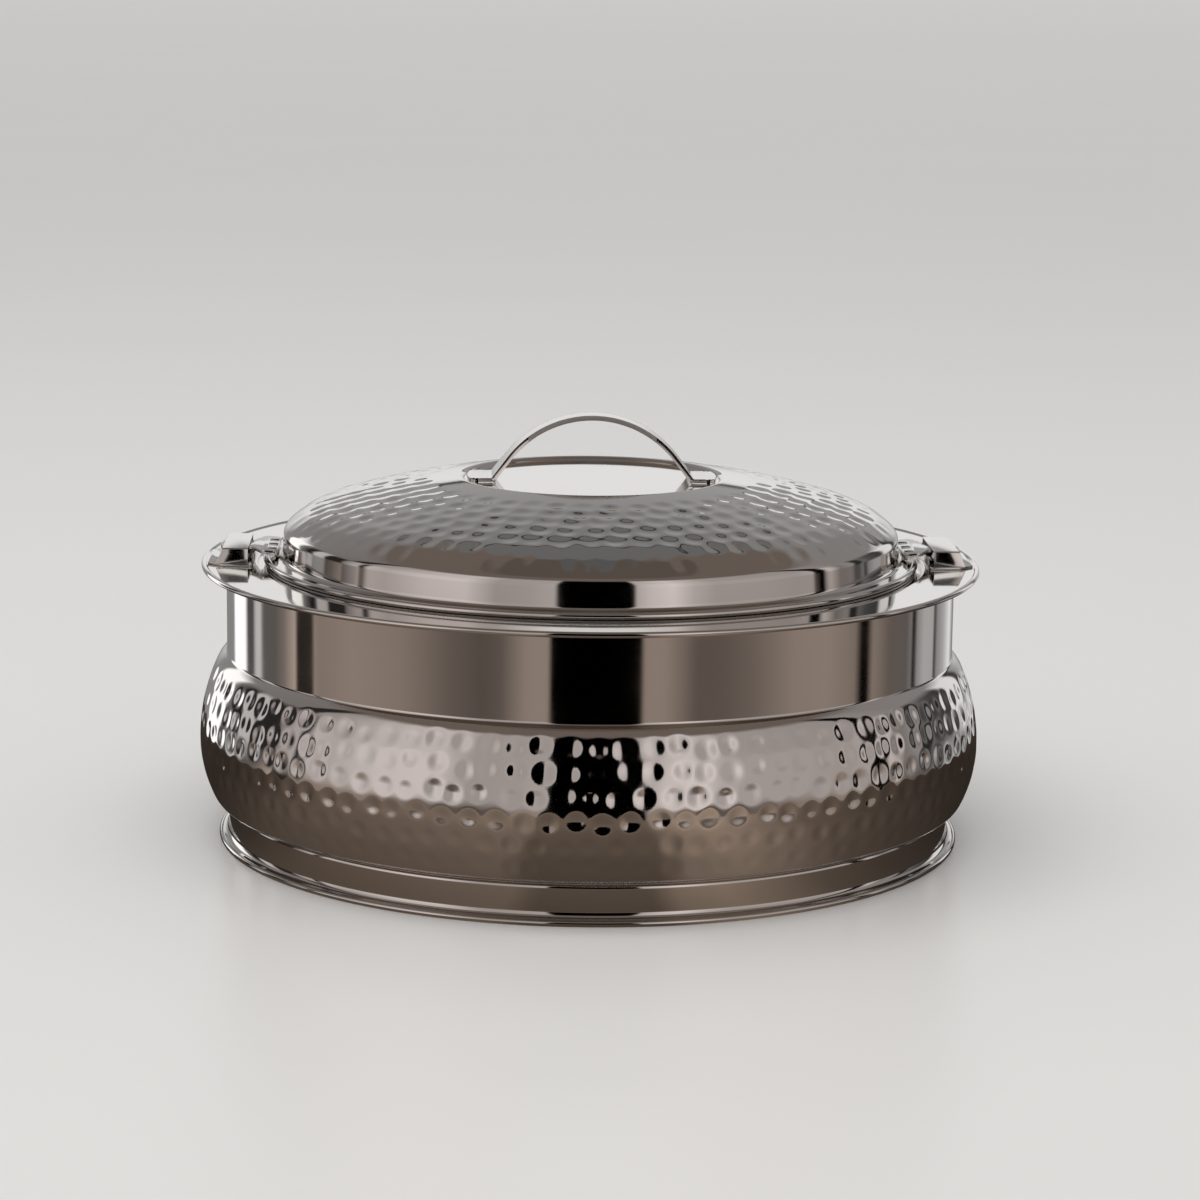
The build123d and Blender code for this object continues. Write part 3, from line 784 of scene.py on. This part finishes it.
def softened(node, name, body, slotName, material, edge):
    ob = frame["nodes"][node].copy()
    ob.data = ob.data.copy()
    ob.name = name
    ob.data.name = name
    ob.parent = None
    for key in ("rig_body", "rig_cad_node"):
        del ob[key]
    bpy.context.scene.collection.objects.link(ob)
    editMode(ob)
    bpy.ops.mesh.customdata_custom_splitnormals_clear()
    bpy.ops.mesh.select_all(action="SELECT")
    bpy.ops.mesh.remove_doubles(threshold=latchEdges["seam"])
    bpy.ops.mesh.dissolve_limited(angle_limit=radians(latchEdges["flattest"]))
    objectMode()
    applyModifier(
        ob, "BEVEL", width=edge, segments=latchEdges["segments"], limit_method="ANGLE",
        angle_limit=radians(latchEdges["sharpest"]),
    )
    finishPiece(ob, body, slotName, material, node, angle=latchEdges["smooth"])


for side in ("right", "left"):
    pressing = ("pot", "latch_steel", latchSteel, latchEdges["pressing"])
    sliding = (side + "_slider", "slider_steel", sliderSteel, latchEdges["slider"])
    softened(side + "_latch_base", side + "LatchBase", *pressing)
    softened(side + "_latch_bridge", side + "LatchBridge", *pressing)
    softened(side + "_latch_slider", side + "LatchSlider", *sliding)
print("handle and latches done")


# the pieces that stay as the frame gives them
plainFinish = dict(
    body_foam=rigidFoam, lid_foam=rigidFoam, handle_studs=fastenerSteel, handle_washers=fastenerSteel,
    handle_nuts=fastenerSteel, right_latch_pin=fastenerSteel, left_latch_pin=fastenerSteel,
    right_latch_spring=springSteel, left_latch_spring=springSteel,
)
for node, material in plainFinish.items():
    ob = frame["nodes"][node]
    ob.data.materials.clear()
    ob.data.materials.append(material)


# studio: pale floor, soft light, and the surroundings that only the steel mirrors
studio = dict(
    wallRadius=60.0, tableRadius=0.43, tableHeight=-0.001, floorSize=100.0, floorColour=(0.8, 0.79, 0.775),
    floorCloud=1.6, floorShade=0.985, floorRough=0.3, floorShine=0.25, softColour=(1.0, 0.985, 0.97, 1),
    softGlow=0.62, backdrop=(0.6, 0.59, 0.58, 1), lampPower=30.0, lampSize=2.6,
    lampPlace=(-0.4, -0.5, 2.4),
)
headroom = 2.0  # a ramp ends at one, so the room's ramps hold less light and its strength makes up for it
tints = dict(low=(1.0, 0.82, 0.71), high=(1.0, 0.92, 0.9), back=(1.0, 1.0, 1.0), table=(1.0, 0.77, 0.61))

# degrees over which one part of the room passes into the next: upwards, and round the pot
passing = dict(
    high=(-8, -1.2), upper=(17, 24), ceiling=(42, 50), sides=(-1, 1), cooler=(105, 125), back=(157, 166),
)

# brightness of the room by degrees round the pot, from the camera's side: low down, and higher up
lowWall = [
    (-180, 0.26), (-163, 0.26), (-151, 0.3), (-149, 1.5), (-137, 1.5), (-136, 0.1), (-130, 0.1),
    (-129, 0.7), (-124.5, 0.7), (-123.5, 0.14), (-115, 0.15), (-110, 0.25), (-103.4, 0.6), (-103, 0.03),
    (-94.8, 0.04), (-94.2, 0.42), (-92.6, 0.32), (-78, 0.38), (-60, 0.33), (-43, 0.18), (-33, 0.13),
    (-27, 0.16), (-19, 0.38), (-12.4, 0.4), (-12, 0.0), (15.6, 0.0), (16, 0.38), (23, 0.37), (33, 0.15),
    (41, 0.16), (52, 0.22), (66, 0.36), (78, 0.38), (91, 0.28), (91.8, 0.0), (96.6, 0.0), (97.4, 0.34),
    (107, 0.17), (117, 0.15), (119.6, 0.27), (120.2, 0.0), (122.2, 0.0), (122.8, 0.3), (129, 0.54),
    (136.4, 0.5), (137, 0.06), (139, 0.06), (139.6, 0.3), (148, 0.5), (158, 0.95), (164, 0.7), (180, 0.26),
]
highWall = [
    (-180, 0.5), (-157, 0.3), (-150, 0.3), (-149, 1.5), (-137, 1.5), (-136, 0.3), (-128, 0.02),
    (-124, 0.02), (-123, 0.7), (-115.5, 0.7), (-114.5, 0.03), (-104, 0.03), (-102.5, 0.3), (-96.5, 0.6),
    (-93.6, 0.6), (-93, 0.02), (-90.6, 0.02), (-89.6, 0.75), (-80, 0.62), (-62, 0.86), (-46, 0.9),
    (-34, 0.5), (-21, 0.52), (-12.4, 0.6), (-12, 0.0), (15.6, 0.0), (16, 0.62), (21, 0.8), (30, 0.98),
    (38, 0.68), (46, 0.55), (62, 0.55), (80, 0.5), (89.4, 0.6), (90, 0.0), (95, 0.0), (96, 0.8), (99, 0.7),
    (104, 0.27), (112, 0.4), (113.6, 0.03), (117.6, 0.03), (119, 0.2), (125, 0.1), (136, 0.05), (139, 1.0),
    (149, 1.0), (150, 0.05), (153, 0.05), (155, 0.4), (180, 0.5),
]
upperWall = [
    (-180, 0.3), (-104, 0.26), (-103, 0.03), (-95, 0.03), (-94, 0.4), (-62, 0.75), (-46, 0.8), (-34, 0.5),
    (-12.4, 0.55), (-12, 0.0), (15.6, 0.0), (16, 0.6), (30, 0.88), (46, 0.5), (89, 0.45), (90, 0.0),
    (96, 0.0), (97, 0.4), (112, 0.32), (180, 0.3),
]
# brightness by degrees upwards: overhead, behind the pot, and a painted lit front at the front that the
# room shows only to rays which have already bounced off the steel
ceiling = [(-90, 0.2), (68, 0.2), (72, 0.14), (90, 0.14)]
behind = [
    (-90, 0.2), (-8, 0.25), (-2, 0.55), (3, 0.85), (9, 0.95), (12.6, 1.0), (13, 0.03), (14.2, 0.03),
    (14.8, 0.42), (28, 0.38), (36, 0.3), (43, 0.26), (43.6, 0.04), (45, 0.04), (45.6, 0.2), (68, 0.2),
    (72, 0.14),
]
paintedEcho = [(-90, 0.05), (14, 0.05), (16, 1.3), (25, 1.3), (27, 0.1), (90, 0.16)]
paintedEchoSpan = [(-40, 0.0), (-12, 1.0), (16, 1.0), (40, 0.0)]  # how much of the echo shows, by degrees round
# the table's glow by metres from the pot's middle, and the share of it by degrees round the pot
tableGlow = [(0.15, 0.25), (0.2, 0.33), (0.25, 0.42), (0.3, 0.44), (0.43, 0.6)]
tableShare = [
    (-180, 0.1), (-100, 0.09), (-80, 0.17), (-58, 0.37), (-27, 0.51), (-14, 0.56), (-9, 0.34), (12, 0.34),
    (17, 0.72), (26, 0.85), (36, 0.6), (46, 0.36), (62, 0.22), (85, 0.12), (107, 0.08), (180, 0.1),
]


def along(degree, span):
    # a degree as a share of a ramp that has zero at its middle
    return 0.5 + degree / span


def upwardStops(stops, tint):
    return [(along(degree, 180), tinted(tint, level / headroom)) for degree, level in stops]


def blend(tree, amount, first, second):
    # sockets 6 and 7 and output 2 are the colours of a Mix node
    node = tree.nodes.new("ShaderNodeMix")
    node.data_type = "RGBA"
    for source, socket in ((amount, "Factor"), (first, 6), (second, 7)):
        tree.links.new(source[0].outputs[source[1]], node.inputs[socket])
    return node, 2


def passOver(tree, source, between, span):
    start, end = between
    return addRamp(tree, source, [(along(start, span), 0.0), (along(end, span), 1.0)])


def roundPot(tree):
    # the place on a surrounding, turned to the camera's side, and its share of the way round the pot
    spot = addNode(tree, "ShaderNodeTexCoord")
    turned = addNode(
        tree, "ShaderNodeVectorRotate", Vector=(spot, "Object"), Angle=radians(view["latchTurn"])
    )
    parts = addNode(tree, "ShaderNodeSeparateXYZ", Vector=(turned, "Vector"))
    angle = calc(tree, "ARCTAN2", (parts, "X"), calc(tree, "MULTIPLY", (parts, "Y"), -1.0))
    return parts, calc(tree, "ADD", calc(tree, "DIVIDE", angle, 2 * pi), 0.5)


def wallGlow(tree, around, stops, tint):
    # one ramp for each side of the camera, because a ramp takes no more than 32 stops; cooler at the back
    start, end = passing["cooler"]
    sides = []
    for side in (-1, 1):
        cooled = []
        for degree, level in stops:
            if degree * side >= 0:
                cool = min(1, max(0, (abs(degree) - start) / (end - start)))
                cooler = tuple(part + (1 - part) * cool for part in tint)
                cooled.append((along(degree, 360), tinted(cooler, level / headroom)))
        sides.append(addRamp(tree, around, cooled))
    return blend(tree, passOver(tree, around, passing["sides"], 360), *sides)


def roomGlow(tree):
    parts, around = roundPot(tree)
    upward = calc(tree, "ARCSINE", calc(tree, "DIVIDE", (parts, "Z"), studio["wallRadius"]))
    upward = calc(tree, "ADD", calc(tree, "DIVIDE", upward, pi), 0.5)
    low = wallGlow(tree, around, lowWall, tints["low"])
    high = wallGlow(tree, around, highWall, tints["high"])
    upper = wallGlow(tree, around, upperWall, tints["high"])
    over = addRamp(tree, upward, upwardStops(ceiling, tints["low"]))
    front = blend(tree, passOver(tree, upward, passing["high"], 180), low, high)
    front = blend(tree, passOver(tree, upward, passing["upper"], 180), front, upper)
    front = blend(tree, passOver(tree, upward, passing["ceiling"], 180), front, over)
    rear = addRamp(tree, upward, upwardStops(behind, tints["back"]))
    aside = calc(tree, "ABSOLUTE", calc(tree, "SUBTRACT", around, 0.5))
    farSide = calc(tree, "ADD", aside, 0.5)
    glow = blend(tree, passOver(tree, farSide, passing["back"], 360), front, rear)
    # painted reflection: a ray that has already bounced off the steel, as from the rim to the lid's band,
    # has a depth of two or more, and for it the room is painted as a lit front instead of the dark card
    path = tree.nodes.new("ShaderNodeLightPath")
    twice = calc(tree, "GREATER_THAN", (path, "Ray Depth"), 1.5)
    paintedLitFront = addRamp(tree, upward, upwardStops(paintedEcho, tints["back"]))
    ahead = addRamp(tree, around, [(along(degree, 360), amount) for degree, amount in paintedEchoSpan])
    return blend(tree, calc(tree, "MULTIPLY", twice, ahead), glow, paintedLitFront)


def tableTop(tree):
    parts, around = roundPot(tree)
    colours = [(radius, tinted(tints["table"], level)) for radius, level in tableGlow]
    glow = addRamp(tree, fromAxis(tree, parts), colours)
    share = addRamp(tree, around, [(along(degree, 360), level) for degree, level in tableShare])
    shade = addNode(tree, "ShaderNodeVectorMath", Vector=glow)
    shade.operation = "MULTIPLY"
    tree.links.new(share[0].outputs[share[1]], shade.inputs[1])
    return shade, "Vector"


def makeGlow(ob, name, paint, strength):
    # gives light to the steel's reflections and to nothing else
    material, tree, output = newMaterial(name)
    shader = addNode(tree, "ShaderNodeEmission", Color=paint(tree), Strength=strength)
    tree.links.new(shader.outputs["Emission"], output.inputs["Surface"])
    material.cycles.emission_sampling = "NONE"
    ob.data.materials.append(material)
    ob.visible_camera = False
    ob.visible_diffuse = False
    ob.visible_transmission = False
    ob.visible_shadow = False


def addSurroundings():
    deselectAll()
    bpy.ops.mesh.primitive_uv_sphere_add(segments=64, ring_count=32, radius=studio["wallRadius"])
    room = bpy.context.object
    room.name = "studioRoom"
    smooth(room, 60)
    makeGlow(room, "studioGlow", roomGlow, headroom)
    deselectAll()
    bpy.ops.mesh.primitive_circle_add(vertices=128, radius=studio["tableRadius"], fill_type="NGON")
    table = bpy.context.object
    table.name = "studioTable"
    for vertex in table.data.vertices:
        vertex.co.z = studio["tableHeight"]
    makeGlow(table, "tableGlow", tableTop, 1.0)


def addFloor():
    deselectAll()
    bpy.ops.mesh.primitive_plane_add(size=studio["floorSize"])
    floor = bpy.context.object
    floor.name = "floor"
    floor.visible_glossy = False
    material, tree, output = newMaterial("paleFloor")
    spot = (addNode(tree, "ShaderNodeTexCoord"), "Object")
    cloud = addNode(tree, "ShaderNodeTexNoise", Vector=spot, Scale=studio["floorCloud"], Detail=4.0)
    tint = clouded(tree, cloud, studio["floorColour"], studio["floorShade"])
    shader = addNode(
        tree, "ShaderNodeBsdfPrincipled", Base_Color=tint, Roughness=studio["floorRough"],
        Specular_IOR_Level=studio["floorShine"],
    )
    tree.links.new(shader.outputs["BSDF"], output.inputs["Surface"])
    floor.data.materials.append(material)


def addLight():
    world = bpy.data.worlds.new("studioWorld")
    bpy.context.scene.world = world
    world.use_nodes = True
    tree = world.node_tree
    tree.nodes.clear()
    output = tree.nodes.new("ShaderNodeOutputWorld")
    path = tree.nodes.new("ShaderNodeLightPath")
    soft = addNode(
        tree, "ShaderNodeBackground", Color=studio["softColour"], Strength=studio["softGlow"]
    )
    seen = addNode(tree, "ShaderNodeBackground", Color=studio["backdrop"], Strength=1.0)
    mix = tree.nodes.new("ShaderNodeMixShader")
    tree.links.new(path.outputs["Is Camera Ray"], mix.inputs[0])
    tree.links.new(soft.outputs["Background"], mix.inputs[1])
    tree.links.new(seen.outputs["Background"], mix.inputs[2])
    tree.links.new(mix.outputs[0], output.inputs["Surface"])
    deselectAll()
    bpy.ops.object.light_add(type="AREA", location=studio["lampPlace"])
    lamp = bpy.context.object
    lamp.name = "softLamp"
    lamp.data.shape = "SQUARE"
    lamp.data.size = studio["lampSize"]
    lamp.data.energy = studio["lampPower"]
    lamp.rotation_euler = (-Vector(studio["lampPlace"])).to_track_quat("-Z", "Y").to_euler()
    lamp.visible_glossy = False


addSurroundings()
addFloor()
addLight()
bpy.context.scene.view_settings.view_transform = "Standard"
print("studio done")

bpy.context.view_layer.update()
